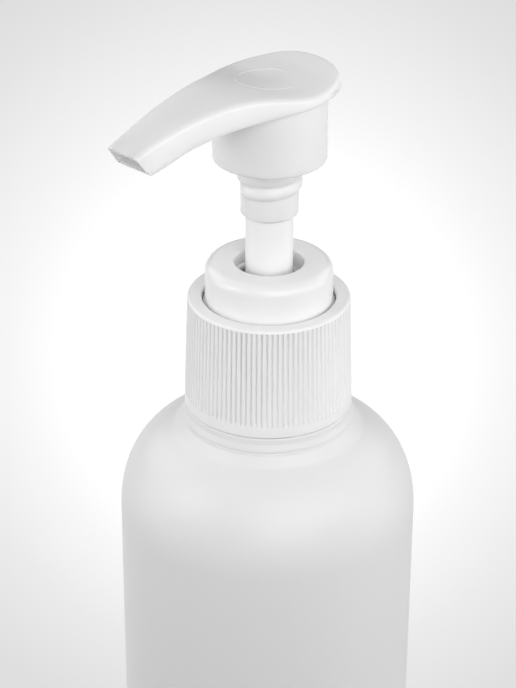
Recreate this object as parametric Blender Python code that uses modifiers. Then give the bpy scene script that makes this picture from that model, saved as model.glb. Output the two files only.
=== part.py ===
"""A lotion pump on a round bottle: a screw closure, a lock collar, and a pump that hangs in the neck.

Metres, +Z up. The origin is on the bottle's axis, on the surface that it stands on.
"""

import math

import bmesh
import bpy

# What keeps pieces apart
clearance = 0.0003  # between faces that touch on the real pump
overrun = 0.002  # how far a cutter reaches past what it cuts
merge_distance = 0.000001

# How finely round pieces are drawn
bottle_sides = 48
closure_sides = 50
ring_sides = 40
small_sides = 24
turn_points = 20

# The radii are built outwards from the stem: each piece takes its bore from what it goes round

# Stem, with the ring that stops it under the collar and the thinner top that the head sits on
stem_radius = 0.00387
stem_wall = 0.00147
stem_bore_radius = stem_radius - stem_wall
stem_shoulder_width = 0.00057
stem_top_radius = stem_radius - stem_shoulder_width
stem_socket_length = 0.011
stem_ring_width = 0.00113
stem_ring_radius = stem_radius + stem_ring_width
stem_ring_height = 0.0011
stem_foot_gap = 0.001

# Threaded plug of the head, which stands on the stem
plug_step_width = 0.00082
plug_radius = stem_radius + plug_step_width
plug_edge = 0.0003
plug_length = 0.0096
plug_clear_height = 0.00877

# Lock thread of the head and the collar
lock_pitch = 0.0023
lock_bead_radius = 0.00072
head_thread_turns = 2.0
head_thread_start = 0.0045
head_thread_angle = math.radians(215)
collar_thread_turns = 1.6
collar_thread_drop = 0.0013
collar_thread_sink = 0.00015
thread_fade_share = 0.12
thread_tip_share = 0.15

# Lock collar, inside: a sleeve that takes the plug's thread, and a guide for the stem at its foot
collar_thread_room = 0.00095
collar_bore_radius = plug_radius + collar_thread_room
collar_mouth_edge = 0.0004
collar_sleeve_wall = 0.00166
collar_sleeve_radius = collar_bore_radius + collar_sleeve_wall
collar_sleeve_depth = 0.00655
stem_guide_play = 0.00033
stem_guide_radius = stem_radius + stem_guide_play
stem_guide_height = 0.0045

# Piston, loose on the stem, and the chamber that it slides in
piston_width = 0.00193
piston_radius = stem_radius + clearance + piston_width
piston_waist_depth = 0.0008
piston_height = 0.0036
piston_lip_height = 0.0009
piston_lag = 0.0008
piston_seat_step = 0.0011
piston_seat_height = 0.0003
chamber_radius = piston_radius + clearance
chamber_wall = 0.001
chamber_length = 0.0336

# Piston rod: a flange under the piston, webs that press into the stem and a spigot for the spring
rod_flange_play = 0.0011
rod_flange_radius = chamber_radius - rod_flange_play
rod_flange_height = 0.0013
rod_web_thickness = 0.0012
rod_web_height = 0.016
rod_spigot_radius = 0.0029
rod_spigot_length = 0.007
rod_tip_edge = 0.0008

# Return spring, round the rod's spigot
spring_wire_radius = 0.0004
spring_radius = rod_spigot_radius + clearance + spring_wire_radius
spring_turns = 10
spring_turn_points = 12

# Inlet valve at the foot of the housing
ball_radius = 0.00225
ball_lift = 0.0012
cage_play = 0.0005
cage_radius = ball_radius + cage_play
cage_lip_width = 0.0008
cage_lip_radius = cage_radius - cage_lip_width
cage_lip_height = 0.0008
seat_width = 0.00115
inlet_radius = cage_radius - seat_width
inlet_length = 0.001

# Dip tube
tube_radius = 0.0027
tube_wall = 0.0008
tube_bore_radius = tube_radius - tube_wall
tube_floor_gap = 0.002
tube_cut_angle = math.radians(35)

# Pump housing: a wide neck round the collar's sleeve, the chamber under it and a tail for the tube
housing_neck_wall = 0.0013
housing_bore_radius = collar_sleeve_radius + clearance
housing_neck_radius = housing_bore_radius + housing_neck_wall
housing_neck_length = 0.006
housing_step_height = 0.0015
housing_radius = chamber_radius + chamber_wall
housing_floor = 0.001
housing_cone_height = 0.0045
tail_wall = 0.0011
tail_radius = tube_radius + clearance + tail_wall
tail_length = 0.0115
vent_radius = 0.0006
vent_drop = 0.0012

# Bottle's neck, round the housing's
neck_play = 0.0004
neck_wall = 0.00155
neck_bore_radius = housing_neck_radius + neck_play
neck_radius = neck_bore_radius + neck_wall
neck_height = 0.01405
neck_edge = 0.0004

# Screw thread of the neck and the closure
screw_pitch = 0.003175
screw_bead_radius = 0.00085
neck_thread_turns = 1.3
neck_thread_drop = 0.0028
neck_thread_stand = 0.0001
closure_thread_turns = 1.15
closure_thread_sink = 0.0002

# Screw closure: room for the neck's thread inside, a slight taper and fine ribs outside
closure_gap = 0.0006
closure_thread_room = 0.0015
closure_inner_radius = neck_radius + closure_thread_room
closure_wall = 0.00162
closure_radius = closure_inner_radius + closure_wall
closure_taper = 0.0006
closure_top_radius = closure_radius - closure_taper
closure_roof = 0.0015
closure_edge = 0.0008
closure_foot_edge = 0.0002
closure_hole_edge = 0.0003
rib_count = 100
rib_groove_depth = 0.00035
rib_groove_share = 0.46
rib_groove_floor_share = 0.2
rib_foot_height = 0.002
rib_top_margin = 0.0017

# Gasket, housing flange and collar flange, stacked between the neck and the closure's roof
gasket_thickness = 0.001
gasket_play = 0.00065
gasket_radius = closure_inner_radius - gasket_play
housing_flange_radius = gasket_radius
housing_flange_thickness = 0.0012
collar_flange_play = 0.00045
collar_flange_radius = closure_inner_radius - collar_flange_play
collar_flange_thickness = 0.001

# Lock collar, outside, where it stands out of the closure's hole
collar_flange_width = 0.00142
collar_radius = collar_flange_radius - collar_flange_width
closure_hole_play = 0.00052
closure_hole_radius = collar_radius + closure_hole_play
collar_rise = 0.00613
collar_edge = 0.0017
collar_shell = 0.0012
collar_roof = 0.0016

# Bottle: blow-moulded, with a step ring under the closure
bottle_radius = 0.025
bottle_wall = 0.0012
body_height = 0.0973
base_corner_radius = 0.0035
foot_width = 0.003
push_up_depth = 0.002
push_up_slope = 0.003
neck_ring_stand = 0.00023
neck_ring_radius = closure_radius + neck_ring_stand
neck_ring_height = 0.003
neck_ring_edge = 0.0003
neck_ring_groove_depth = 0.0003
neck_ring_groove_width = 0.00035
neck_ring_lower_bead = 0.0008
neck_ring_foot_width = 0.0007
neck_ring_foot_radius = neck_ring_radius + neck_ring_foot_width
shoulder_height = 0.0171
shoulder_rise = 0.0167
shoulder_tuck = 0.0052
shoulder_inner_radius = neck_ring_foot_radius - shoulder_tuck
shoulder_fullness_share = 2.27

# Head: the actuator with its nozzle and its skirt round the plug
skirt_radius = 0.00905
skirt_wall = 0.0012
skirt_edge = 0.0003
skirt_height = 0.0105
skirt_roof_drop = 0.0016
head_half_width = 0.0101
head_back_length = 0.0108
head_back_fullness_share = 2.2
head_reach = 0.0315
head_depth = 0.003
head_crown = 0.0004
head_crown_side_share = 0.75
head_edge = 0.0007
head_edge_share = 0.12
head_flare_share = 0.13
head_heading = math.radians(225)
tip_setback = 0.0026
tip_cut_share = 0.7
tip_thin_share = 0.5
riser_radius = 0.0022
tip_wall = 0.0004
channel_wall = 0.0008
channel_half_width = 0.0024
channel_least_depth = 0.0017
channel_narrow_share = 0.25
skirt_sink_share = 0.5

# The head's outline. Behind the axis: a place as a share of the back's quarter turn, then the top's
# and the bottom's height over the rim as shares of the depth. Before it: a place as a share of the
# reach, the half width as a share of the widest, then the same two heights
head_back_shares = (
    (1.0, 1.17, 0.54),
    (0.82, 1.18, 0.53),
    (0.62, 1.06, 0.49),
    (0.4, 0.9, 0.45),
    (0.2, 0.82, 0.38),
)
head_front_shares = (
    (0.0, 1.01, 0.77, 0.28),
    (0.095, 0.93, 0.85, 0.17),
    (0.19, 0.81, 0.98, 0.07),
    (0.286, 0.7, 1.09, -0.02),
    (0.381, 0.62, 1.15, -0.09),
    (0.476, 0.545, 1.12, -0.18),
    (0.571, 0.485, 1.03, -0.3),
    (0.667, 0.43, 0.87, -0.46),
    (0.762, 0.38, 0.65, -0.71),
    (0.857, 0.335, 0.37, -1.0),
    (0.93, 0.31, 0.11, -1.14),
    (1.0, 0.295, -0.15, -1.2),
)

# Heights, from the bottle's base up
shoulder_z = body_height
ring_bottom_z = shoulder_z + shoulder_height
ring_top_z = ring_bottom_z + neck_ring_height
closure_bottom_z = ring_top_z + closure_gap
land_z = ring_top_z + neck_height
gasket_z = land_z + clearance
housing_flange_z = gasket_z + gasket_thickness + clearance
housing_top_z = housing_flange_z + housing_flange_thickness
collar_flange_z = housing_top_z + clearance
closure_roof_z = collar_flange_z + collar_flange_thickness + clearance
closure_top_z = closure_roof_z + closure_roof
collar_top_z = closure_top_z + collar_rise
collar_foot_z = collar_flange_z - collar_sleeve_depth
guide_top_z = collar_foot_z + stem_guide_height
plug_z = collar_top_z + plug_clear_height
skirt_z = plug_z + plug_length
rim_z = skirt_z + skirt_height

# Heights inside the pump, from the collar's foot down
stem_ring_top_z = collar_foot_z - clearance
stem_ring_z = stem_ring_top_z - stem_ring_height
piston_top_z = stem_ring_z - clearance - piston_lag
piston_z = piston_top_z - piston_height
rod_flange_top_z = piston_z - piston_seat_height - clearance
rod_flange_z = rod_flange_top_z - rod_flange_height
stem_foot_z = rod_flange_top_z + stem_foot_gap
chamber_top_z = collar_foot_z - clearance
chamber_floor_z = chamber_top_z - chamber_length
cage_top_z = chamber_floor_z - cage_lip_height
ball_rise = math.sqrt(ball_radius**2 - cage_lip_radius**2)
ball_z = cage_top_z - ball_rise - clearance - ball_lift
seat_z = ball_z - math.sqrt(2) * (ball_radius + clearance) + inlet_radius
seat_top_z = seat_z + cage_radius - inlet_radius
socket_top_z = seat_z - inlet_length
tail_z = socket_top_z - tail_length
tube_top_z = socket_top_z - clearance
bottle_floor_z = push_up_depth + bottle_wall
tube_z = bottle_floor_z + tube_floor_gap


def clear_scene():
    for thing in list(bpy.data.objects):
        bpy.data.objects.remove(thing, do_unlink=True)
    for group in list(bpy.data.collections):
        bpy.data.collections.remove(group)


def new_collection(name):
    group = bpy.data.collections.new(name)
    bpy.context.scene.collection.children.link(group)
    return group


def plastic(name, color, roughness, metallic=0.0, transmission=0.0):
    material = bpy.data.materials.new(name)
    material.use_nodes = True
    shader = material.node_tree.nodes["Principled BSDF"]
    shader.inputs["Base Color"].default_value = (*color, 1)
    shader.inputs["Roughness"].default_value = roughness
    shader.inputs["Metallic"].default_value = metallic
    shader.inputs["Transmission Weight"].default_value = transmission
    return material


def add_object(name, mesh, group, material=None):
    thing = bpy.data.objects.new(name, mesh)
    group.objects.link(thing)
    if material:
        mesh.materials.append(material)
    return thing


def hide_cutter(thing):
    thing.hide_render = True
    thing.display_type = "WIRE"
    return thing


def boolean(target, other, operation):
    modifier = target.modifiers.new(operation.lower() + "_" + other.name, "BOOLEAN")
    modifier.operation = operation
    modifier.solver = "EXACT"
    modifier.object = other


def shade_round(thing):
    thing.data.shade_smooth()
    thing.data.set_sharp_from_angle(angle=math.radians(32))


def turned(name, profile, sides, group, material=None, closed=True):
    """A profile of (radius, height) points, outer side first and downwards, turned round Z."""
    mesh = bpy.data.meshes.new(name)
    count = len(profile)
    edges = [(i, i + 1) for i in range(count - 1)]
    if closed:
        edges.append((count - 1, 0))
    mesh.from_pydata([(r, 0, z) for r, z in profile], edges, [])
    thing = add_object(name, mesh, group, material)
    screw = thing.modifiers.new("turn", "SCREW")
    screw.axis = "Z"
    screw.steps = sides
    screw.render_steps = sides
    screw.use_merge_vertices = True
    screw.merge_threshold = merge_distance
    screw.use_smooth_shade = True
    return thing


def arc(center_r, center_z, radius, start_degrees, end_degrees, steps):
    points = []
    for i in range(steps + 1):
        a = math.radians(start_degrees + (end_degrees - start_degrees) * i / steps)
        points.append((center_r + radius * math.cos(a), center_z + radius * math.sin(a)))
    return points


def round_bead(name, radius, pitch, turns, bead_radius, start_z, start_angle, group):
    """A right-hand thread as one round bead on a helix, thinned to nothing at both ends."""
    curve = bpy.data.curves.new(name, "CURVE")
    curve.dimensions = "3D"
    curve.bevel_depth = bead_radius
    curve.bevel_resolution = 2
    curve.use_fill_caps = True
    spline = curve.splines.new("POLY")
    count = round(turns * turn_points)
    spline.points.add(count)
    for i, point in enumerate(spline.points):
        turn = turns * i / count
        angle = start_angle + 2 * math.pi * turn
        point.co = (radius * math.cos(angle), radius * math.sin(angle), start_z + pitch * turn, 1)
        end_share = min(turn, turns - turn) / thread_fade_share
        point.radius = min(1, thread_tip_share + (1 - thread_tip_share) * end_share)
    return mesh_of_curve(name, curve, group)


def mesh_of_curve(name, curve, group, material=None):
    """The curve as a mesh with its caps welded, so that a Boolean can use it."""
    guide = bpy.data.objects.new(name + "_curve", curve)
    group.objects.link(guide)
    bpy.context.view_layer.update()
    graph = bpy.context.evaluated_depsgraph_get()
    mesh = bpy.data.meshes.new_from_object(guide.evaluated_get(graph))
    mesh.name = name
    bm = bmesh.new()
    bm.from_mesh(mesh)
    bmesh.ops.remove_doubles(bm, verts=bm.verts, dist=merge_distance)
    bmesh.ops.recalc_face_normals(bm, faces=bm.faces)
    bm.to_mesh(mesh)
    bm.free()
    mesh.materials.clear()
    thing = add_object(name, mesh, group, material)
    thing.matrix_world = guide.matrix_world
    bpy.data.objects.remove(guide, do_unlink=True)
    return thing


def loft(name, sections, group, material=None):
    """Closed sections of as many points each, joined in order and capped at both ends."""
    bm = bmesh.new()
    rings = [[bm.verts.new(point) for point in section] for section in sections]
    for near, far in zip(rings, rings[1:]):
        for i in range(len(near)):
            j = (i + 1) % len(near)
            bm.faces.new((near[i], near[j], far[j], far[i]))
    bm.faces.new(list(reversed(rings[0])))
    bm.faces.new(rings[-1])
    bmesh.ops.recalc_face_normals(bm, faces=bm.faces)
    mesh = bpy.data.meshes.new(name)
    bm.to_mesh(mesh)
    bm.free()
    return add_object(name, mesh, group, material)


def box(name, size, center, group):
    bm = bmesh.new()
    bmesh.ops.create_cube(bm, size=1)
    bmesh.ops.scale(bm, vec=size, verts=bm.verts)
    bmesh.ops.translate(bm, vec=center, verts=bm.verts)
    mesh = bpy.data.meshes.new(name)
    bm.to_mesh(mesh)
    bm.free()
    return add_object(name, mesh, group)


def cylinder(name, radius, length, group):
    bm = bmesh.new()
    bmesh.ops.create_cone(
        bm, cap_ends=True, segments=small_sides, radius1=radius, radius2=radius, depth=length
    )
    mesh = bpy.data.meshes.new(name)
    bm.to_mesh(mesh)
    bm.free()
    return add_object(name, mesh, group)


def shoulder_curve(radius, inner_radius, rise, start_radius, steps):
    """The shoulder's round outline, from start_radius at the neck down to the body's side."""
    reach = radius - inner_radius
    start = (start_radius - inner_radius) / reach
    first = math.asin(start ** (shoulder_fullness_share / 2))
    points = []
    for i in range(steps + 1):
        a = first + (math.pi / 2 - first) * i / steps
        out = math.sin(a) ** (2 / shoulder_fullness_share)
        up = max(math.cos(a), 0) ** (2 / shoulder_fullness_share)
        points.append((inner_radius + reach * out, shoulder_z + rise * up))
    return points


def bottle_profile():
    groove_top = ring_bottom_z + neck_ring_lower_bead + neck_ring_groove_width
    groove_r = neck_ring_radius - neck_ring_groove_depth
    outside = [
        (neck_bore_radius, land_z),
        (neck_radius - neck_edge, land_z),
        (neck_radius, land_z - neck_edge),
        (neck_radius, ring_top_z),
        (neck_ring_radius - neck_ring_edge, ring_top_z),
        (neck_ring_radius, ring_top_z - neck_ring_edge),
        (neck_ring_radius, groove_top),
        (groove_r, groove_top - neck_ring_groove_width / 2),
        (neck_ring_radius, ring_bottom_z + neck_ring_lower_bead),
        (neck_ring_radius, ring_bottom_z + neck_ring_edge / 2),
    ]
    outside += shoulder_curve(
        bottle_radius, shoulder_inner_radius, shoulder_rise, neck_ring_foot_radius, 9
    )
    outside += arc(
        bottle_radius - base_corner_radius, base_corner_radius, base_corner_radius, 0, -90, 4
    )
    foot_inner = bottle_radius - base_corner_radius - foot_width
    outside += [(foot_inner, 0), (foot_inner - push_up_slope, push_up_depth), (0, push_up_depth)]
    inner_corner = base_corner_radius - bottle_wall
    inside = [(0, bottle_floor_z), (foot_inner - push_up_slope - bottle_wall / 2, bottle_floor_z)]
    inside.append((foot_inner, bottle_wall))
    inside += arc(
        bottle_radius - base_corner_radius, bottle_wall + inner_corner, inner_corner, -90, 0, 3
    )
    under = shoulder_curve(
        bottle_radius - bottle_wall,
        shoulder_inner_radius - bottle_wall,
        shoulder_rise - bottle_wall,
        neck_bore_radius,
        6,
    )
    return outside + inside + list(reversed(under))


def make_bottle(group, cutters, material):
    bottle = turned("bottle", bottle_profile(), bottle_sides, group, material)
    thread = round_bead(
        "neck_thread",
        neck_radius + neck_thread_stand,
        screw_pitch,
        neck_thread_turns,
        screw_bead_radius,
        neck_thread_z(),
        0,
        cutters,
    )
    boolean(bottle, hide_cutter(thread), "UNION")
    return bottle


def neck_thread_z():
    """Where the neck's thread starts, so that it ends a little under the sealing land."""
    return land_z - neck_thread_drop - neck_thread_turns * screw_pitch


def closure_wall_radius(z):
    share = (z - closure_bottom_z) / (closure_top_z - closure_bottom_z)
    return closure_radius + (closure_top_radius - closure_radius) * share


def rib_cutter(group):
    """A ring with teeth on its inside, which cuts the grooves between the ribs."""
    low = closure_bottom_z + rib_foot_height
    high = closure_top_z - rib_top_margin
    pitch = 2 * math.pi / rib_count
    bm = bmesh.new()
    rings = {}
    for z in (low, high):
        wall = closure_wall_radius(z)
        outer, inner = [], []
        for i in range(rib_count):
            half, floor = pitch * rib_groove_share / 2, pitch * rib_groove_floor_share / 2
            for angle, radius in (
                (-half, wall + rib_groove_depth / 2),
                (-floor, wall - rib_groove_depth),
                (floor, wall - rib_groove_depth),
                (half, wall + rib_groove_depth / 2),
            ):
                a = pitch * (i + 0.5) + angle
                inner.append(bm.verts.new((radius * math.cos(a), radius * math.sin(a), z)))
                out = closure_radius + overrun
                outer.append(bm.verts.new((out * math.cos(a), out * math.sin(a), z)))
        rings[z] = (outer, inner)
    count = 4 * rib_count
    for i in range(count):
        j = (i + 1) % count
        low_out, low_in = rings[low]
        high_out, high_in = rings[high]
        bm.faces.new((low_out[i], low_out[j], high_out[j], high_out[i]))
        bm.faces.new((low_in[j], low_in[i], high_in[i], high_in[j]))
        bm.faces.new((low_in[i], low_in[j], low_out[j], low_out[i]))
        bm.faces.new((high_out[i], high_out[j], high_in[j], high_in[i]))
    bmesh.ops.recalc_face_normals(bm, faces=bm.faces)
    mesh = bpy.data.meshes.new("rib_grooves")
    bm.to_mesh(mesh)
    bm.free()
    return add_object("rib_grooves", mesh, group)


def make_closure(group, cutters, material):
    corner_z = closure_top_z - closure_edge
    wall = closure_wall_radius(corner_z)
    profile = [(closure_hole_radius + closure_hole_edge, closure_top_z)]
    profile += arc(wall - closure_edge, corner_z, closure_edge, 90, 0, 4)
    profile += [
        (closure_radius, closure_bottom_z + closure_foot_edge),
        (closure_radius - closure_foot_edge, closure_bottom_z),
        (closure_inner_radius + closure_foot_edge, closure_bottom_z),
        (closure_inner_radius, closure_bottom_z + closure_foot_edge),
        (closure_inner_radius, closure_roof_z),
        (closure_hole_radius, closure_roof_z),
        (closure_hole_radius, closure_top_z - closure_hole_edge),
    ]
    closure = turned("screw_closure", profile, closure_sides, group, material)
    boolean(closure, hide_cutter(rib_cutter(cutters)), "DIFFERENCE")
    thread = round_bead(
        "closure_thread",
        closure_inner_radius - closure_thread_sink,
        screw_pitch,
        closure_thread_turns,
        screw_bead_radius,
        neck_thread_z() - screw_pitch / 2,
        0,
        cutters,
    )
    boolean(closure, hide_cutter(thread), "UNION")
    return closure


def make_collar(group, cutters, material):
    edge_z = collar_top_z - collar_edge
    shell_bore = collar_radius - collar_shell
    profile = [(collar_bore_radius + collar_mouth_edge, collar_top_z)]
    profile += arc(collar_radius - collar_edge, edge_z, collar_edge, 90, 0, 5)
    profile += [
        (collar_radius, collar_flange_z + collar_flange_thickness),
        (collar_flange_radius, collar_flange_z + collar_flange_thickness),
        (collar_flange_radius, collar_flange_z),
        (shell_bore, collar_flange_z),
        (shell_bore, collar_top_z - collar_roof),
        (collar_sleeve_radius, collar_top_z - collar_roof),
        (collar_sleeve_radius, collar_foot_z),
        (stem_guide_radius, collar_foot_z),
        (stem_guide_radius, guide_top_z),
        (collar_bore_radius, guide_top_z),
        (collar_bore_radius, collar_top_z - collar_mouth_edge),
    ]
    collar = turned("lock_collar", profile, ring_sides, group, material)
    thread = round_bead(
        "collar_thread",
        collar_bore_radius + collar_thread_sink,
        lock_pitch,
        collar_thread_turns,
        lock_bead_radius,
        collar_top_z - collar_thread_drop - collar_thread_turns * lock_pitch,
        0,
        cutters,
    )
    boolean(collar, hide_cutter(thread), "UNION")
    return collar


def make_gasket(group, material):
    inner = housing_neck_radius + clearance
    profile = [
        (inner, gasket_z + gasket_thickness),
        (gasket_radius, gasket_z + gasket_thickness),
        (gasket_radius, gasket_z),
        (inner, gasket_z),
    ]
    return turned("neck_gasket", profile, ring_sides, group, material)


def make_housing(group, cutters, material):
    neck_foot_z = housing_flange_z - housing_neck_length
    body_z = chamber_floor_z - housing_floor
    profile = [
        (housing_bore_radius, housing_top_z),
        (housing_flange_radius, housing_top_z),
        (housing_flange_radius, housing_flange_z),
        (housing_neck_radius, housing_flange_z),
        (housing_neck_radius, neck_foot_z),
        (housing_radius, neck_foot_z - housing_step_height),
        (housing_radius, body_z),
        (tail_radius, body_z - housing_cone_height),
        (tail_radius, tail_z),
        (tube_radius + clearance, tail_z),
        (tube_radius + clearance, socket_top_z),
        (inlet_radius, socket_top_z),
        (inlet_radius, seat_z),
        (cage_radius, seat_top_z),
        (cage_radius, cage_top_z),
        (cage_lip_radius, cage_top_z),
        (cage_lip_radius, chamber_floor_z),
        (chamber_radius, chamber_floor_z),
        (chamber_radius, chamber_top_z - (housing_bore_radius - chamber_radius)),
        (housing_bore_radius, chamber_top_z),
    ]
    housing = turned("pump_housing", profile, ring_sides, group, material)
    vent = cylinder("vent_hole", vent_radius, housing_neck_radius, cutters)
    vent.rotation_euler = (0, math.pi / 2, 0)
    vent.location = (housing_neck_radius, 0, neck_foot_z - housing_step_height - vent_drop)
    boolean(housing, hide_cutter(vent), "DIFFERENCE")
    return housing


def make_dip_tube(group, cutters, material):
    profile = [
        (tube_bore_radius, tube_top_z),
        (tube_radius, tube_top_z),
        (tube_radius, tube_z),
        (tube_bore_radius, tube_z),
    ]
    tube = turned("dip_tube", profile, small_sides, group, material)
    side = 4 * tube_radius
    cut = box("tube_cut", (side, side, side), (0, 0, -side / 2), cutters)
    cut.rotation_euler = (0, tube_cut_angle, 0)
    cut.location = (0, 0, tube_z + tube_radius * math.tan(tube_cut_angle))
    boolean(tube, hide_cutter(cut), "DIFFERENCE")
    return tube


def make_ball(group, material):
    bm = bmesh.new()
    bmesh.ops.create_uvsphere(bm, u_segments=20, v_segments=12, radius=ball_radius)
    mesh = bpy.data.meshes.new("inlet_ball")
    bm.to_mesh(mesh)
    bm.free()
    ball = add_object("inlet_ball", mesh, group, material)
    ball.location = (0, 0, ball_z)
    return ball


def make_spring(group, material):
    top = rod_flange_z - clearance - spring_wire_radius
    bottom = chamber_floor_z + clearance + spring_wire_radius
    curve = bpy.data.curves.new("return_spring", "CURVE")
    curve.dimensions = "3D"
    curve.bevel_depth = spring_wire_radius
    curve.bevel_resolution = 1
    curve.use_fill_caps = True
    spline = curve.splines.new("POLY")
    count = spring_turns * spring_turn_points
    spline.points.add(count)
    for i, point in enumerate(spline.points):
        share = i / count
        angle = 2 * math.pi * spring_turns * share
        z = bottom + (top - bottom) * share
        point.co = (spring_radius * math.cos(angle), spring_radius * math.sin(angle), z, 1)
    return mesh_of_curve("return_spring", curve, group, material)


def make_piston(group, material):
    bore = stem_radius + clearance
    waist = piston_radius - piston_waist_depth
    seat = piston_radius - piston_seat_step
    profile = [
        (bore, piston_top_z),
        (piston_radius, piston_top_z),
        (piston_radius, piston_top_z - piston_lip_height),
        (waist, piston_top_z - 2 * piston_lip_height),
        (waist, piston_z + 2 * piston_lip_height),
        (piston_radius, piston_z + piston_lip_height),
        (piston_radius, piston_z),
        (seat, piston_z),
        (seat, piston_z - piston_seat_height),
        (bore, piston_z - piston_seat_height),
    ]
    return turned("piston", profile, ring_sides, group, material)


def make_rod(group, cutters, material):
    spigot_z = rod_flange_z - rod_spigot_length
    core = stem_bore_radius - clearance
    profile = [
        (0, rod_flange_top_z),
        (rod_flange_radius, rod_flange_top_z),
        (rod_flange_radius, rod_flange_z),
        (rod_spigot_radius, rod_flange_z),
        (rod_spigot_radius, spigot_z + rod_tip_edge),
        (rod_spigot_radius - rod_tip_edge, spigot_z),
        (0, spigot_z),
    ]
    rod = turned("piston_rod", profile, small_sides, group, material, closed=False)
    middle_z = rod_flange_top_z + rod_web_height / 2 - rod_flange_height / 2
    height = rod_web_height + rod_flange_height
    width = 2 * math.sqrt(core**2 - (rod_web_thickness / 2) ** 2)
    for name, size in (
        ("rod_web_a", (width, rod_web_thickness, height)),
        ("rod_web_b", (rod_web_thickness, width, height - clearance)),
    ):
        web = box(name, size, (0, 0, middle_z), cutters)
        boolean(rod, hide_cutter(web), "UNION")
    return rod


def make_stem(group, material):
    shoulder = plug_z - clearance
    top = shoulder + stem_socket_length
    profile = [
        (stem_bore_radius, top),
        (stem_top_radius, top),
        (stem_top_radius, shoulder),
        (stem_radius, shoulder),
        (stem_radius, stem_ring_top_z),
        (stem_ring_radius, stem_ring_top_z),
        (stem_ring_radius, stem_ring_z),
        (stem_radius, stem_ring_z),
        (stem_radius, stem_foot_z),
        (stem_bore_radius, stem_foot_z),
    ]
    return turned("stem", profile, ring_sides, group, material)


def head_section(x, half_width, top_share, bottom_share, setback):
    """One closed section across the head, with its top edges rounded and its sides flared."""
    top = rim_z + head_depth * top_share
    bottom = rim_z + head_depth * bottom_share
    depth = top - bottom
    crown = head_crown * half_width / head_half_width
    edge = min(head_edge, head_edge_share * half_width)
    low = half_width + head_flare_share * depth
    half = [(0, bottom), (low - edge / 2, bottom), (low, bottom + edge / 4)]
    for i in range(4):
        a = math.radians(90) * i / 3
        out = half_width - edge + edge * math.cos(a)
        half.append((out, top - edge + edge * math.sin(a)))
    half += [((half_width - edge) / 2, top + crown * head_crown_side_share), (0, top + crown)]
    loop = half + [(-y, z) for y, z in reversed(half[1:-1])]
    return [(x - setback * (top - z) / depth, y, z) for y, z in loop]


def setback_at(place):
    """How far the tip's cut sets the lower edge back: nothing up to the cut's start, then more."""
    return tip_setback * max(0, (place - tip_cut_share) / (1 - tip_cut_share)) ** 1.5


def head_sections():
    sections = []
    for place, top, bottom in head_back_shares:
        share = math.sin(math.radians(90) * place)
        width = max(1 - share**head_back_fullness_share, 0) ** (1 / head_back_fullness_share)
        half_width = max(head_half_width * width, head_edge)
        sections.append(head_section(-head_back_length * share, half_width, top, bottom, 0))
    for place, width, top, bottom in head_front_shares:
        x = head_reach * place
        sections.append(head_section(x, head_half_width * width, top, bottom, setback_at(place)))
    return sections


def channel_section(row, wall):
    """A four-sided section of the nozzle's channel, this wall inside the head's outline."""
    place, width, top_share, bottom_share = row
    top = rim_z + head_depth * top_share
    depth = head_depth * (top_share - bottom_share)
    roof = top - wall
    floor = min(top - depth + wall, roof - channel_least_depth)
    inner = head_half_width * width - wall
    if place < channel_narrow_share:
        inner = min(inner, channel_half_width)
    low = inner + head_flare_share * (roof - floor)
    points = [(-inner, roof), (inner, roof), (low, floor), (-low, floor)]
    return [(head_reach * place - setback_at(place) * (top - z) / depth, y, z) for y, z in points]


def channel_sections():
    """The liquid's way from over the riser to the tip, a little inside the head's outline."""
    sections = []
    for row in head_front_shares:
        share = max(0, (row[0] - tip_thin_share) / (1 - tip_thin_share))
        sections.append(channel_section(row, channel_wall + (tip_wall - channel_wall) * share))
    before, last = head_front_shares[-2:]
    fall = (last[2] - before[2]) / (last[0] - before[0]) * head_depth / head_reach * overrun
    return sections + [[(x + overrun, y, z + fall) for x, y, z in sections[-1]]]


def make_head(group, cutters, material):
    """The head with its nozzle; +X is the nozzle's way until the whole piece is turned."""
    head = loft("actuator", head_sections(), group, material)
    skirt_bore = skirt_radius - skirt_wall
    roof_z = rim_z - skirt_roof_drop
    skirt_top = rim_z + head_depth * skirt_sink_share
    skirt = turned(
        "skirt",
        [
            (0, skirt_top),
            (skirt_radius, skirt_top),
            (skirt_radius, skirt_z + skirt_edge),
            (skirt_radius - skirt_edge, skirt_z),
            (skirt_bore, skirt_z),
            (skirt_bore, roof_z),
            (plug_radius, roof_z),
            (plug_radius, plug_z + plug_edge),
            (plug_radius - plug_edge, plug_z),
            (0, plug_z),
        ],
        ring_sides,
        cutters,
        closed=False,
    )
    thread = round_bead(
        "head_thread",
        plug_radius,
        lock_pitch,
        head_thread_turns,
        lock_bead_radius,
        plug_z + head_thread_start,
        head_thread_angle - head_heading,
        cutters,
    )
    socket_top = plug_z + stem_socket_length
    riser_top = rim_z + head_depth * head_front_shares[0][2] - channel_wall
    riser = turned(
        "riser",
        [
            (0, riser_top - clearance),
            (riser_radius, riser_top - clearance),
            (riser_radius, socket_top),
            (stem_top_radius + clearance, socket_top),
            (stem_top_radius + clearance, plug_z - overrun),
            (0, plug_z - overrun),
        ],
        ring_sides,
        cutters,
        closed=False,
    )
    channel = loft("nozzle_channel", channel_sections(), cutters)
    boolean(head, hide_cutter(skirt), "UNION")
    boolean(head, hide_cutter(thread), "UNION")
    boolean(head, hide_cutter(riser), "DIFFERENCE")
    boolean(head, hide_cutter(channel), "DIFFERENCE")
    for thing in (head, skirt, thread, riser, channel):
        thing.rotation_euler = (0, 0, head_heading)
    return head


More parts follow.
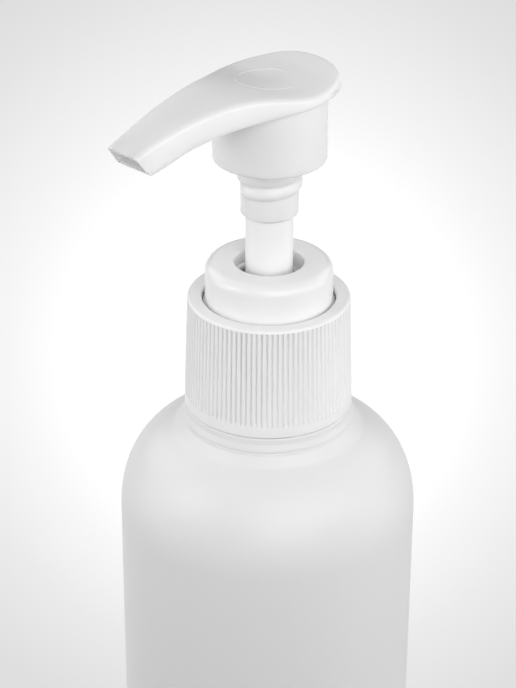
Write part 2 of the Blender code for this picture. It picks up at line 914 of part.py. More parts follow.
def main():
    clear_scene()
    group = new_collection("soap_pump_bottle")
    cutters = new_collection("cutters")
    bottle_plastic = plastic("bottle_plastic", (0.82, 0.83, 0.83), 0.45)
    white = plastic("white_plastic", (0.86, 0.86, 0.86), 0.3)
    closure_white = plastic("closure_plastic", (0.85, 0.85, 0.85), 0.35)
    collar_white = plastic("collar_plastic", (0.86, 0.86, 0.86), 0.3)
    stem_white = plastic("stem_plastic", (0.84, 0.84, 0.84), 0.3)
    housing_clear = plastic("housing_plastic", (0.8, 0.82, 0.82), 0.4)
    tube_clear = plastic("tube_plastic", (0.8, 0.82, 0.83), 0.35, transmission=0.4)
    rod_white = plastic("rod_plastic", (0.8, 0.8, 0.8), 0.4)
    piston_white = plastic("piston_plastic", (0.75, 0.77, 0.78), 0.45)
    seal = plastic("seal_foam", (0.85, 0.85, 0.83), 0.7)
    steel = plastic("spring_steel", (0.6, 0.6, 0.6), 0.3, metallic=1.0)
    ball_steel = plastic("ball_steel", (0.65, 0.65, 0.66), 0.15, metallic=1.0)

    pieces = [
        make_bottle(group, cutters, bottle_plastic),
        make_closure(group, cutters, closure_white),
        make_collar(group, cutters, collar_white),
        make_gasket(group, seal),
        make_housing(group, cutters, housing_clear),
        make_dip_tube(group, cutters, tube_clear),
        make_ball(group, ball_steel),
        make_spring(group, steel),
        make_piston(group, piston_white),
        make_rod(group, cutters, rod_white),
        make_stem(group, stem_white),
        make_head(group, cutters, white),
    ]
    for piece in pieces:
        shade_round(piece)


main()
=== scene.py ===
import math

import bmesh
import bpy
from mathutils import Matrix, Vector


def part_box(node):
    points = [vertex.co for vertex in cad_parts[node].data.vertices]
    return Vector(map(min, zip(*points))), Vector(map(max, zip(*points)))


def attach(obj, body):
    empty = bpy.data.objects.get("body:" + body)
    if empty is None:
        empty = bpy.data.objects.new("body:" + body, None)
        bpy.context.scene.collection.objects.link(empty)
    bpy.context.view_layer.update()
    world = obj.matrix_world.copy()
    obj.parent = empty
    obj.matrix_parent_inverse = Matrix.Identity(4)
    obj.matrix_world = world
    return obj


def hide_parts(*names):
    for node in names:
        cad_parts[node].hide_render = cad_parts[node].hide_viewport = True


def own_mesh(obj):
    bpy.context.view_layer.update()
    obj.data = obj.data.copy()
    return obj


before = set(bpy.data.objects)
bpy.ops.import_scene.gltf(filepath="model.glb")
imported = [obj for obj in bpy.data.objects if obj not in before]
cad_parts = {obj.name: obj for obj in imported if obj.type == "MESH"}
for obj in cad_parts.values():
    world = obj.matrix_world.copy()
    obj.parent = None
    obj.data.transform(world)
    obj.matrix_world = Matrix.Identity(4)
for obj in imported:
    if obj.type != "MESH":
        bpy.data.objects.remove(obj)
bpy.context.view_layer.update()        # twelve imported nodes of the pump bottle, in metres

mm = 0.001
mergeGap = 0.001 * mm
nearly = 0.01 * mm       # two places closer than this count as one
crisp, fine, soft = 0.1 * mm, 0.15 * mm, 0.2 * mm       # edges as a mould leaves them
fullTurn = 2 * math.pi
print("frame loaded:", len(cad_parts), "nodes")


# Small hand tools that every piece uses

def clearSelection():
    if bpy.context.mode != "OBJECT":
        bpy.ops.object.mode_set(mode="OBJECT")
    bpy.ops.object.select_all(action="DESELECT")


def makeActive(piece):
    clearSelection()
    piece.select_set(True)
    bpy.context.view_layer.objects.active = piece


def startEditing(piece):
    makeActive(piece)
    bpy.ops.object.mode_set(mode="EDIT")
    bpy.ops.mesh.select_mode(type="VERT")
    bpy.ops.mesh.select_all(action="DESELECT")


def stopEditing(piece):
    bpy.ops.object.mode_set(mode="OBJECT")
    bpy.ops.object.transform_apply(location=True, rotation=True, scale=True)
    return piece


def closeUp(piece):
    # every face is turned outwards, and the piece leaves edit mode
    bpy.ops.mesh.select_all(action="SELECT")
    bpy.ops.mesh.normals_make_consistent(inside=False)
    return stopEditing(piece)


def pickVerts(piece, wanted):
    cage = bmesh.from_edit_mesh(piece.data)
    cage.verts.index_update()
    for vert in cage.verts:
        vert.select_set(wanted(vert))
    cage.select_flush_mode()
    bmesh.update_edit_mesh(piece.data)


def pickRing(piece, first, count):
    # vertices in the order in which they were made
    pickVerts(piece, lambda vert: first <= vert.index < first + count)


def pickParts(piece, kind, wanted):
    # whole edges or faces
    bpy.ops.mesh.select_mode(type=kind)
    bpy.ops.mesh.select_all(action="DESELECT")
    cage = bmesh.from_edit_mesh(piece.data)
    for part in cage.edges if kind == "EDGE" else cage.faces:
        part.select_set(wanted(part))
    bmesh.update_edit_mesh(piece.data)


def drawLine(name, points, closed=True, filled=False):
    # one vertex is extruded from point to point
    clearSelection()
    bpy.ops.mesh.primitive_plane_add(size=mm, location=points[0])
    line = bpy.context.object
    line.name = name
    bpy.ops.object.transform_apply(location=True)
    startEditing(line)
    bpy.ops.mesh.select_all(action="SELECT")
    bpy.ops.mesh.merge(type="CENTER")
    for here, there in zip(points, points[1:]):
        step = tuple(b - a for a, b in zip(here, there))
        bpy.ops.mesh.extrude_vertices_move(TRANSFORM_OT_translate={"value": step})
    if closed:
        pickVerts(line, lambda vert: vert.index in (0, len(points) - 1))
        bpy.ops.mesh.edge_face_add()
    if filled:
        bpy.ops.mesh.select_all(action="SELECT")
        bpy.ops.mesh.edge_face_add()
    return line


def softCorners(size, corners, steps=5):
    # corners of (radius, height, edge), each a number or a name in the piece's dictionary:
    # an edge above nothing rounds its corner with an arc
    corners = [[size.get(value, value) for value in corner] for corner in corners]
    line = []
    for i, (r, z, edge) in enumerate(corners):
        here = Vector((r, z))
        if edge == 0:
            line.append((r, z))
            continue
        back = (Vector(corners[i - 1][:2]) - here).normalized()
        ahead = (Vector(corners[(i + 1) % len(corners)][:2]) - here).normalized()
        half = back.angle(ahead) / 2
        center = here + (back + ahead).normalized() * edge / math.sin(half)
        start = here + back * edge / math.tan(half) - center
        end = here + ahead * edge / math.tan(half) - center
        for k in range(steps + 1):
            spoke = start.lerp(end, k / steps).normalized() * edge
            line.append(tuple(center + spoke))
    return line


def turnOnLathe(name, outline, sides=128, closed=True):
    # an outline of (radius, height) points is spun round the bottle's axis
    piece = drawLine(name, [(r, 0, z) for r, z in outline], closed)
    bpy.ops.mesh.select_all(action="SELECT")
    bpy.ops.mesh.spin(
        steps=sides, angle=fullTurn, center=(0, 0, 0), axis=(0, 0, 1), use_auto_merge=True
    )
    bpy.ops.mesh.select_all(action="SELECT")
    bpy.ops.mesh.remove_doubles(threshold=mergeGap)
    return closeUp(piece)


def applyModifier(piece, kind, **settings):
    makeActive(piece)
    step = piece.modifiers.new(kind.lower(), kind)
    for name, value in settings.items():
        setattr(step, name, value)
    bpy.ops.object.modifier_apply(modifier=step.name)
    return piece


def combine(piece, tool, operation):
    applyModifier(piece, "BOOLEAN", operation=operation, solver="EXACT", object=tool)
    bpy.data.objects.remove(tool)
    return piece


def addBox(spread, middle, turn=(0, 0, 0), edge=0):
    clearSelection()
    bpy.ops.mesh.primitive_cube_add(size=1, scale=spread, location=middle, rotation=turn)
    box = bpy.context.object
    bpy.ops.object.transform_apply(location=False, rotation=False, scale=True)
    if edge:
        applyModifier(box, "BEVEL", width=edge, segments=3)
    return box


helix = {"sides": 12, "threadSteps": 64, "thinnest": 0.12}


def windHelix(name, radius, wire, low, rise, turns, steps, tall=1):
    # a round section is wound up about the axis; its ends are still open
    clearSelection()
    bpy.ops.mesh.primitive_circle_add(
        vertices=helix["sides"], radius=wire, location=(radius, 0, low),
        rotation=(math.pi / 2, 0, 0),
    )
    wound = bpy.context.object
    wound.name = name
    wound.scale.y = tall
    bpy.ops.object.transform_apply(location=True, rotation=True, scale=True)
    applyModifier(
        wound, "SCREW", axis="Z", angle=fullTurn * turns, screw_offset=rise, steps=steps,
        render_steps=steps, use_merge_vertices=False,
    )
    startEditing(wound)
    return wound


def capHelix(wound, steps):
    for first in (0, steps * helix["sides"]):
        pickRing(wound, first, helix["sides"])
        bpy.ops.mesh.edge_face_add()
    return closeUp(wound)


def threadFoot(size, top):
    return top - size["threadDrop"] - size["threadTurns"] * size["threadPitch"]


def threadBead(name, size, radius, low, startAngle=0, fade=0.12):
    # a bead on a helix, thinned over a share of a turn at both ends
    pitch, turns, thinnest = size["threadPitch"], size["threadTurns"], helix["thinnest"]
    steps = round(helix["threadSteps"] * turns)
    thread = windHelix(
        name, radius, size["threadBead"], low, pitch * turns, turns, steps,
        size.get("threadTall", 1),
    )
    for k in range(steps + 1):
        turn = turns * k / steps
        share = min(turn, turns - turn) / fade
        if share < 1:
            angle = fullTurn * turn
            middle = (radius * math.cos(angle), radius * math.sin(angle), low + pitch * turn)
            pickRing(thread, k * helix["sides"], helix["sides"])
            keep = thinnest + (1 - thinnest) * share
            bpy.ops.transform.resize(value=(keep, keep, keep), center_override=middle)
    thread.rotation_euler.z = startAngle
    return capHelix(thread, steps)


def seat(piece, node, body, material, sharp=32):
    # the finished piece takes its node's place and rides with its body
    makeActive(piece)
    bpy.ops.object.shade_smooth_by_angle(angle=math.radians(sharp))
    piece.data.materials.clear()
    piece.data.materials.append(material)
    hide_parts(node)
    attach(piece, body)
    print(piece.name, "done,", len(piece.data.polygons), "faces")
    return piece


# Shader groups: cloudy pigment, the fine skin of moulded plastic, and the lines of drawn steel

socketKinds = {1: "NodeSocketFloat", 3: "NodeSocketVector", 4: "NodeSocketColor"}


def newGroup(name, inputs, outputs):
    # a socket's first value says its kind: a number, a vector of three or a colour of four
    group = bpy.data.node_groups.new(name, "ShaderNodeTree")
    for way, sockets in (("INPUT", inputs), ("OUTPUT", outputs)):
        for label, value in sockets.items():
            kind = socketKinds[len(value) if isinstance(value, tuple) else 1]
            socket = group.interface.new_socket(name=label, in_out=way, socket_type=kind)
            socket.default_value = value
    given, result = group.nodes.new("NodeGroupInput"), group.nodes.new("NodeGroupOutput")
    return group, given.outputs, result.inputs


def addNode(tree, kind, inputs, **settings):
    # an input takes a value or another node's output; settings are the node's own properties
    node = tree.nodes.new("ShaderNode" + kind)
    for name, value in settings.items():
        setattr(node, name, value)
    for place, source in inputs.items():
        if isinstance(source, bpy.types.NodeSocket):
            tree.links.new(source, node.inputs[place])
        else:
            node.inputs[place].default_value = source
    return node


def calculate(tree, operation, *values):
    return addNode(tree, "Math", dict(enumerate(values)), operation=operation).outputs[0]


def addNoise(tree, place, scale, **more):
    return addNode(tree, "TexNoise", {"Vector": place, "Scale": scale, **more}).outputs["Fac"]


def makeCloudGroup():
    # flow marks and a slight unevenness of the pigment
    group, given, result = newGroup(
        "pigmentCloud",
        {
            "Vector": (0, 0, 0), "Color": (0.8, 0.8, 0.8, 1), "Size": 90, "Depth": 0.02,
            "Roughness": 0.3, "Unevenness": 0.06,
        },
        {"Color": (1, 1, 1, 1), "Roughness": 0},
    )
    cloud = addNoise(group, given["Vector"], given["Size"], Detail=3)
    centred = calculate(group, "SUBTRACT", cloud, 0.5)
    lift = calculate(group, "MULTIPLY_ADD", centred, given["Depth"], 1)
    tint = addNode(group, "VectorMath", {0: given["Color"], "Scale": lift}, operation="SCALE")
    rough = calculate(group, "MULTIPLY_ADD", centred, given["Unevenness"], given["Roughness"])
    group.links.new(tint.outputs["Vector"], result["Color"])
    group.links.new(rough, result["Roughness"])
    return group


def makeSkinGroup():
    # the mould's spark-eroded skin: fine pits over a soft ripple
    group, given, result = newGroup(
        "mouldSkin",
        {
            "Vector": (0, 0, 0), "Grain size": 2500, "Grain": 0.3, "Ripple size": 150,
            "Ripple": 0.5,
        },
        {"Height": 0},
    )
    grain = addNoise(group, given["Vector"], given["Grain size"])
    ripple = addNoise(group, given["Vector"], given["Ripple size"])
    pits = calculate(group, "MULTIPLY", grain, given["Grain"])
    both = calculate(group, "MULTIPLY_ADD", ripple, given["Ripple"], pits)
    group.links.new(both, result["Height"])
    return group


def makeStreakGroup():
    # lines that a die or a grinding wheel leaves, drawn out along one direction
    group, given, result = newGroup(
        "drawnLines",
        {
            "Vector": (0, 0, 0), "Stretch": (1, 1, 1), "Size": 2000, "Roughness": 0.2,
            "Unevenness": 0.1,
        },
        {"Height": 0, "Roughness": 0},
    )
    drawn = addNode(
        group, "VectorMath", {0: given["Vector"], 1: given["Stretch"]}, operation="MULTIPLY"
    )
    lines = addNoise(group, drawn.outputs["Vector"], given["Size"], Detail=2)
    centred = calculate(group, "SUBTRACT", lines, 0.5)
    rough = calculate(group, "MULTIPLY_ADD", centred, given["Unevenness"], given["Roughness"])
    group.links.new(lines, result["Height"])
    group.links.new(rough, result["Roughness"])
    return group


pigmentCloud = makeCloudGroup()
mouldSkin = makeSkinGroup()
drawnLines = makeStreakGroup()


def startMaterial(name):
    material = bpy.data.materials.new(name)
    material.use_nodes = True
    tree = material.node_tree
    return material, tree, tree.nodes["Principled BSDF"]


def objectPlace(tree):
    return addNode(tree, "TexCoord", {}).outputs["Object"]


def placeGroup(tree, group, place, values):
    return addNode(tree, "Group", {"Vector": place, **values}, node_tree=group).outputs


def dressShader(tree, shader, color, roughness, height, bump):
    relief = addNode(tree, "Bump", {"Height": height, "Distance": bump * mm})
    tree.links.new(color, shader.inputs["Base Color"])
    tree.links.new(roughness, shader.inputs["Roughness"])
    tree.links.new(relief.outputs["Normal"], shader.inputs["Normal"])


skinBump = 0.02


def plasticMaterial(name, look):
    material, tree, shader = startMaterial(name)
    place = objectPlace(tree)
    cloud = placeGroup(tree, pigmentCloud, place, look["cloud"])
    skin = placeGroup(tree, mouldSkin, place, look.get("skin", {}))
    dressShader(tree, shader, cloud["Color"], cloud["Roughness"], skin["Height"], skinBump)
    for socket, value in look.get("shader", {}).items():
        shader.inputs[socket].default_value = value
    return material


def steelMaterial(name, look):
    material, tree, shader = startMaterial(name)
    place = objectPlace(tree)
    cloud = placeGroup(tree, pigmentCloud, place, look["cloud"])
    lines = placeGroup(tree, drawnLines, place, look["lines"])
    dressShader(tree, shader, cloud["Color"], lines["Roughness"], lines["Height"], look["bump"])
    shader.inputs["Metallic"].default_value = 1
    return material


def foamMaterial(name, look):
    # closed cells: rounded bubbles with pale walls between them, and painted shade darkening each
    # bubble's hollow
    material, tree, shader = startMaterial(name)
    place = objectPlace(tree)
    cells = addNode(tree, "TexVoronoi", {"Vector": place, "Scale": look["cellSize"]})
    distance = cells.outputs["Distance"]
    shade = addNode(tree, "ValToRGB", {"Fac": distance})
    hollow, wall = shade.color_ramp.elements
    hollow.color, wall.color, wall.position = look["hollow"], look["wall"], look["wallStart"]
    cloud = placeGroup(
        tree, pigmentCloud, place, {**look["cloud"], "Color": shade.outputs["Color"]}
    )
    dressShader(tree, shader, cloud["Color"], cloud["Roughness"], distance, look["bump"])
    return material


def grey(level):
    return (level, level, level, 1)


def milky(weight, depth):
    # light goes a little way into nearly every one of these plastics
    return {
        "Subsurface Weight": weight, "Subsurface Scale": depth * mm,
        "Subsurface Radius": (1, 1, 1),
    }


looks = {
    "bottle": {
        "cloud": {"Color": grey(0.8), "Roughness": 0.42, "Size": 45},
        "skin": {"Grain": 0.5, "Ripple": 0.6, "Ripple size": 70},
        "shader": milky(0.25, 2),
    },
    "closure": {
        "cloud": {"Color": grey(0.9), "Roughness": 0.33, "Size": 160},
        "shader": milky(0.1, 1),
    },
    "collar": {
        "cloud": {"Color": grey(0.88), "Roughness": 0.2, "Size": 160},
        "shader": milky(0.3, 1),
    },
    "stem": {
        "cloud": {"Color": grey(0.88), "Roughness": 0.26, "Size": 160},
        "shader": milky(0.3, 1),
    },
    "head": {
        "cloud": {"Color": grey(0.88), "Roughness": 0.24, "Size": 110},
        "shader": milky(0.75, 1.5),
    },
    "housing": {
        "cloud": {"Color": (0.8, 0.81, 0.8, 1), "Roughness": 0.36, "Size": 110, "Depth": 0.04},
        "shader": milky(0.4, 2),
    },
    "tube": {
        "cloud": {"Color": (0.84, 0.86, 0.85, 1), "Roughness": 0.3, "Size": 220, "Depth": 0.04},
        "skin": {"Grain size": 900},
        "shader": {"Transmission Weight": 0.35, "IOR": 1.5},
    },
    "piston": {
        "cloud": {"Color": (0.82, 0.82, 0.79, 1), "Roughness": 0.45, "Size": 160},
        "shader": milky(0.3, 1),
    },
    "rod": {"cloud": {"Color": grey(0.83), "Roughness": 0.36, "Size": 160}},
}
plastics = {name: plasticMaterial(name + "Plastic", look) for name, look in looks.items()}

steelLooks = {
    "ball": {
        "cloud": {"Color": (0.66, 0.67, 0.68, 1), "Size": 400, "Depth": 0.04},
        "lines": {
            "Stretch": (1, 0.15, 1), "Size": 3000, "Roughness": 0.12, "Unevenness": 0.08,
        },
        "bump": 0.001,
    },
    "spring": {
        "cloud": {"Color": (0.58, 0.58, 0.6, 1), "Size": 300, "Depth": 0.08},
        "lines": {"Stretch": (1, 1, 4), "Size": 2500, "Roughness": 0.27, "Unevenness": 0.16},
        "bump": 0.004,
    },
}
steels = {name: steelMaterial(name + "Steel", look) for name, look in steelLooks.items()}

foamLook = {
    "cloud": {"Size": 120, "Depth": 0.03, "Roughness": 0.85, "Unevenness": 0.05},
    # the hollows' darker grey is painted shade in the bubbles' recesses
    "hollow": (0.72, 0.72, 0.7, 1),
    "wall": (0.84, 0.84, 0.82, 1),
    "wallStart": 0.6,
    "cellSize": 2600,
    "bump": 0.08,
}
sealFoam = foamMaterial("sealFoam", foamLook)
print("materials made")


# Bottle: blown body with a round shoulder, a step ring and the neck with its thread

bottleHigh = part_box("bottle")[1]
bottle = {
    "radius": bottleHigh.x,
    "height": bottleHigh.z,
    "wall": 1.2 * mm,
    "bodyHeight": 97.3 * mm,
    "baseCorner": 3.5 * mm,
    "footWidth": 3 * mm,
    "footEdge": 0.5 * mm,
    "pushUp": 2 * mm,
    "pushUpSlope": 3 * mm,
    "pushUpEdge": 1.2 * mm,
    "innerEdge": 0.6 * mm,
    "neckRadius": 10.85 * mm,
    "neckBore": 9.3 * mm,
    "landEdge": 0.4 * mm,
    "ringTop": 117.88 * mm,
    "ringTopRadius": 13.95 * mm,
    "ringStep": 116.8 * mm,
    "ringRadius": 14.3 * mm,
    "ringStepFoot": 115.9 * mm,
    "ringGroove": 115.3 * mm,
    "ringGrooveHalf": 0.15 * mm,
    "ringGrooveDepth": 0.12 * mm,
    "ringFoot": 114.9 * mm,
    "ringEdge": 0.3 * mm,
    "fairing": 1.5 * mm,
    "fairingEdge": 2.5 * mm,
    "fairingSteps": 3,
    "shoulderInner": 9.7 * mm,
    "shoulderRise": 16.7 * mm,
    "shoulderFullness": 2.27,
    "shoulderSteps": 26,
    "innerSteps": 20,
    "threadPitch": 3.175 * mm,
    "threadBead": 0.85 * mm,
    "threadTurns": 1.3,
    "threadDrop": 2.8 * mm,
    "threadShift": 0.1 * mm,
    "pinchLength": 20 * mm,
    "pinchWidth": 0.6 * mm,
    "pinchHeight": 0.35 * mm,
    "pinchEdge": 0.15 * mm,
}


def shoulderLine(size, inset, startRadius, steps):
    # a full quarter curve from the neck out to the body's side
    inner = size["shoulderInner"] - inset
    reach = size["radius"] - inset - inner
    rise = size["shoulderRise"] - inset
    power = 2 / size["shoulderFullness"]
    first = math.asin(((startRadius - inner) / reach) ** (1 / power))
    line = []
    for i in range(steps + 1):
        angle = first + (math.pi / 2 - first) * i / steps
        out = reach * math.sin(angle) ** power
        up = rise * max(0, math.cos(angle)) ** power
        line.append((inner + out, size["bodyHeight"] + up))
    return line


def makeBottle(size):
    radius, wall, pushUp = size["radius"], size["wall"], size["pushUp"]
    ringR, ringEdge = size["ringRadius"], size["ringEdge"]
    groove, grooveHalf = size["ringGroove"], size["ringGrooveHalf"]
    grooveEdge = grooveHalf / 2
    footR = radius - size["baseCorner"] - size["footWidth"]
    pushR = footR - size["pushUpSlope"]
    shoulder = shoulderLine(size, 0, ringR + size["fairing"], size["shoulderSteps"])
    neck = softCorners(size, [
        ("neckBore", "height", 0),
        ("neckRadius", "height", "landEdge"),
        ("neckRadius", "ringTop", ringEdge),
        ("ringTopRadius", "ringTop", ringEdge),
        ("ringTopRadius", "ringStep", ringEdge),
        (ringR, "ringStepFoot", ringEdge),
        (ringR, groove + grooveHalf, grooveEdge),
        (ringR - size["ringGrooveDepth"], groove, grooveEdge),
        (ringR, groove - grooveHalf, grooveEdge),
        (ringR, "ringFoot", grooveEdge),
        (*shoulder[0], "fairingEdge"),
        (*shoulder[size["fairingSteps"]], 0),
    ], steps=6)
    base = softCorners(size, [
        (radius, size["bodyHeight"] / 2, 0),
        (radius, 0, "baseCorner"),
        (footR, 0, "footEdge"),
        (pushR, pushUp, "pushUpEdge"),
        (0, pushUp, 0),
    ], steps=8)
    floor = pushUp + wall
    inside = softCorners(size, [
        (0, floor, 0),
        (pushR - wall / 2, floor, "innerEdge"),
        (footR, wall, "innerEdge"),
        (radius - wall, wall, size["baseCorner"] - wall),
        (radius - wall, size["bodyHeight"] / 2, 0),
    ], steps=6)
    under = shoulderLine(size, wall, size["neckBore"], size["innerSteps"])
    outside = neck[1:] + shoulder[size["fairingSteps"] + 1:] + base
    shell = turnOnLathe("milky_bottle", outside + inside + under[::-1] + neck[:1], sides=160)
    # the pinch-off: where the two halves of the mould closed on the hot tube
    spread = (size["pinchLength"], size["pinchWidth"], 2 * size["pinchHeight"])
    combine(shell, addBox(spread, (0, 0, pushUp), edge=size["pinchEdge"]), "UNION")
    thread = threadBead(
        "neck_thread", size, size["neckRadius"] + size["threadShift"],
        threadFoot(size, size["height"]),
    )
    return combine(shell, thread, "UNION")


seat(makeBottle(bottle), "bottle", "bottle", plastics["bottle"])


# Screw closure: a hundred fine ribs with soft ends between two smooth bands

closureLow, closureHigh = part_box("screw_closure")
closure = {
    "foot": closureLow.z,
    "top": closureHigh.z,
    "radius": 13.97 * mm,
    "topRadius": 13.37 * mm,
    "wall": 1.62 * mm,
    "roof": 1.5 * mm,
    "edge": 0.5 * mm,
    "hole": 11.0 * mm,
    "holeEdge": 0.3 * mm,
    "footEdge": 0.25 * mm,
    "ribs": 100,
    "ribDepth": 0.5 * mm,
    # how deep the groove is at each column of a rib
    "grooveShares": (0, 0, 0, 0, 0.65, 1, 0.65, 0),
    "bandHeight": 2 * mm,
    "topMargin": 0.5 * mm,
    "ribStart": 0.45 * mm,
    "ribFade": 0.5 * mm,
    "threadTurns": 1.15,
    "threadShift": -0.2 * mm,
}


def makeClosure(size):
    foot, top = size["foot"], size["top"]
    inner = size["radius"] - size["wall"]

    def wallAt(z):
        return size["radius"] + (size["topRadius"] - size["radius"]) * (z - foot) / (top - foot)

    low, high = foot + size["bandHeight"], top - size["topMargin"]
    cut = (low + size["ribStart"], high - size["ribFade"])
    line = softCorners(size, [
        ("hole", top, "holeEdge"),
        (wallAt(top), top, "edge"),
        *((wallAt(z), z, 0) for z in (high, cut[1], cut[0], low)),
        ("radius", foot, "footEdge"),
        (inner, foot, "footEdge"),
        (inner, top - size["roof"], 0),
        ("hole", top - size["roof"], crisp),
    ], steps=5)
    shares = size["grooveShares"]
    columns = size["ribs"] * len(shares)
    shell = turnOnLathe("ribbed_closure", line, sides=columns)
    startEditing(shell)
    for z in cut:
        for share in sorted(set(shares) - {0}):

            def inGroove(vert):
                x, y = vert.co.xy
                if abs(vert.co.z - z) > nearly or math.hypot(x, y) < inner + size["ribDepth"]:
                    return False
                column = round(math.atan2(y, x) / fullTurn * columns)
                return shares[column % len(shares)] == share

            pickVerts(shell, inGroove)
            keep = 1 - size["ribDepth"] * share / wallAt(z)
            bpy.ops.transform.resize(value=(keep, keep, 1), center_override=(0, 0, z))
    stopEditing(shell)
    # the neck's bead lies in the middle between this one's turns
    low = threadFoot(bottle, bottle["height"]) - bottle["threadPitch"] / 2
    thread = threadBead("closure_thread", {**bottle, **size}, inner + size["threadShift"], low)
    return combine(shell, thread, "UNION")


seat(makeClosure(closure), "screw_closure", "closure", plastics["closure"])


# Lock collar: a domed edge over the closure's hole, and the lock thread in its mouth

collarLow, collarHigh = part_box("lock_collar")
collar = {
    "foot": collarLow.z,
    "top": collarHigh.z,
    "radius": 10.48 * mm,
    "edge": 1.7 * mm,
    "bore": 5.64 * mm,
    "mouthEdge": 0.35 * mm,
    "stepRadius": 10.78 * mm,
    "stepTop": 136.5 * mm,
    "flangeRadius": collarHigh.x,
    "flangeFoot": 134.55 * mm,
    "flange": 1 * mm,
    "shell": 1.2 * mm,
    "roof": 1.6 * mm,
    "sleeve": 1.66 * mm,
    "guide": 4.2 * mm,
    "guideHeight": 4.5 * mm,
    "threadPitch": 2.3 * mm,
    "threadBead": 0.72 * mm,
    "threadTurns": 1.6,
    "threadDrop": 2.5 * mm,
    "threadShift": 0.15 * mm,
}


def makeCollar(size):
    top, foot, radius, bore = size["top"], size["foot"], size["radius"], size["bore"]
    roof, guideTop = top - size["roof"], foot + size["guideHeight"]
    flangeTop = size["flangeFoot"] + size["flange"]
    line = softCorners(size, [
        (bore, top, "mouthEdge"),
        (radius, top, "edge"),
        (radius, "stepTop", crisp),
        ("stepRadius", "stepTop", crisp),
        ("stepRadius", flangeTop, crisp),
        ("flangeRadius", flangeTop, fine),
        ("flangeRadius", "flangeFoot", fine),
        (radius - size["shell"], "flangeFoot", crisp),
        (radius - size["shell"], roof, soft),
        (bore + size["sleeve"], roof, soft),
        (bore + size["sleeve"], foot, soft),
        ("guide", foot, soft),
        ("guide", guideTop, soft),
        (bore, guideTop, soft),
    ], steps=7)
    shell = turnOnLathe("domed_collar", line)
    thread = threadBead(
        "collar_thread", size, bore + size["threadShift"], threadFoot(size, top)
    )
    return combine(shell, thread, "UNION")


seat(makeCollar(collar), "lock_collar", "pump_body", plastics["collar"])


# Stem: hollow, with the stop ring at its foot and a thinner top that the head sits on

stemLow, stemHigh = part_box("stem")
stem = {
    "foot": stemLow.z,
    "top": stemHigh.z,
    "radius": 3.87 * mm,
    "topRadius": 3.3 * mm,
    "topEdge": 0.3 * mm,
    "bore": 2.4 * mm,
    "shoulder": 151.95 * mm,
    "ringRadius": stemHigh.x,
    "ringFoot": 126.6 * mm,
    "ringHeight": 1.1 * mm,
}


def makeStem(size):
    ringTop = size["ringFoot"] + size["ringHeight"]
    line = softCorners(size, [
        ("bore", "top", fine),
        ("topRadius", "top", "topEdge"),
        ("topRadius", "shoulder", 0),
        ("radius", "shoulder", fine),
        ("radius", ringTop, fine),
        ("ringRadius", ringTop, soft),
        ("ringRadius", "ringFoot", soft),
        ("radius", "ringFoot", fine),
        ("radius", "foot", soft),
        ("bore", "foot", fine),
    ], steps=4)
    return turnOnLathe("hollow_stem", line, sides=96)


seat(makeStem(stem), "stem", "head", plastics["stem"])


# Head: one moulding of a thumb rest with its spout, the skirt and the threaded plug

head = {
    "rim": 172.35 * mm,
    "heading": math.radians(225),
    "plate": 3 * mm,
    "flare": 0.35 * mm,
    "edge": 0.7 * mm,
    "underEdge": 0.12 * mm,
    # the half outline of the top, from the back round to beyond the tip, nozzle along +X
    "outline": [
        (-11.15, 0), (-10.8, 3.1), (-9.5, 6.0), (-7.15, 8.35), (-4.0, 9.72), (-0.8, 10.15),
        (2.2, 9.68), (5.1, 8.6), (8.2, 7.45), (11.6, 6.5), (15.4, 5.68), (19.4, 4.98),
        (23.6, 4.38), (28.0, 3.85), (32.5, 3.52), (38.0, 3.2),
    ],
    "pointsPerSpan": 5,
    "tipPoints": 12,
    # heights over the rim every 3.15 mm, from 12.6 mm behind the axis
    "station": 3.15,
    "firstStation": -12.6,
    "top": [
        3.42, 3.22, 2.64, 2.4, 2.3, 2.57, 2.98, 3.3, 3.45, 3.3, 2.96, 2.4, 1.6, 0.68, -0.45,
        -1.7,
    ],
    "under": [
        1.65, 1.5, 1.35, 1.13, 0.84, 0.5, 0.18, -0.08, -0.32, -0.62, -1.05, -1.7, -2.75, -3.62,
        -4.0, -4.1,
    ],
    "crown": [0.4, 0.4, 0.4, 0.4, 0.4, 0.36, 0.3, 0.22, 0.14, 0.07, 0, 0, 0, 0, 0, 0],
    "cageWidth": 22.22 * mm,
    "tipTop": (31.3, -0.5),
    "tipFoot": (28.8, -3.75),
    "skirtRadius": 9.15 * mm,
    "skirtWall": 1.2 * mm,
    "skirtHeight": 10.5 * mm,
    "skirtEdge": 0.3 * mm,
    "skirtRoof": 1.6 * mm,
    "skirtTop": 1.8 * mm,
    "plugRadius": 4.69 * mm,
    "plugFoot": 152.25 * mm,
    "plugEdge": 0.3 * mm,
    "socket": 3.6 * mm,
    "socketLength": 11 * mm,
    "overrun": 1 * mm,
    "riser": 2.2 * mm,
    "riserTop": 1.9 * mm,
    # the channel from before the tip to the riser: x, top and foot over the rim, half width
    "channel": [
        (33.5, -1.65, -3.95, 3.2), (31.3, -0.95, -3.75, 3.1), (28.8, -0.2, -3.3, 3.0),
        (26, 0.45, -1.75, 1.9), (20, 1.7, -0.3, 1.9), (14, 2.3, 0.3, 1.9), (8, 2.2, 0.3, 1.9),
        (1, 1.8, 0.1, 1.9),
    ],
    "channelEdge": 0.3 * mm,
    "threadPitch": 2.3 * mm,
    "threadBead": 0.6 * mm,
    "threadTurns": 2.1,
    "threadTall": 1.8,
    "threadStart": 4.4 * mm,
    "threadAngle": math.radians(186),
    "threadFade": 0.08,
    # a plain turn arrow on the thumb rest
    "arrowMiddle": (0.85 * mm, -0.42 * mm),
    "arrowRadius": 4.6 * mm,
    "arrowStart": math.radians(-190),
    "arrowEnd": math.radians(97),
    "arrowHead": math.radians(25),
    "arrowSteps": 60,
    "arrowBelow": 1 * mm,
    "arrowWindow": 4 * mm,
    "arrowLine": 0.3 * mm,
    "arrowHeadHalf": 1 * mm,
    "arrowRelief": 0.06 * mm,
}


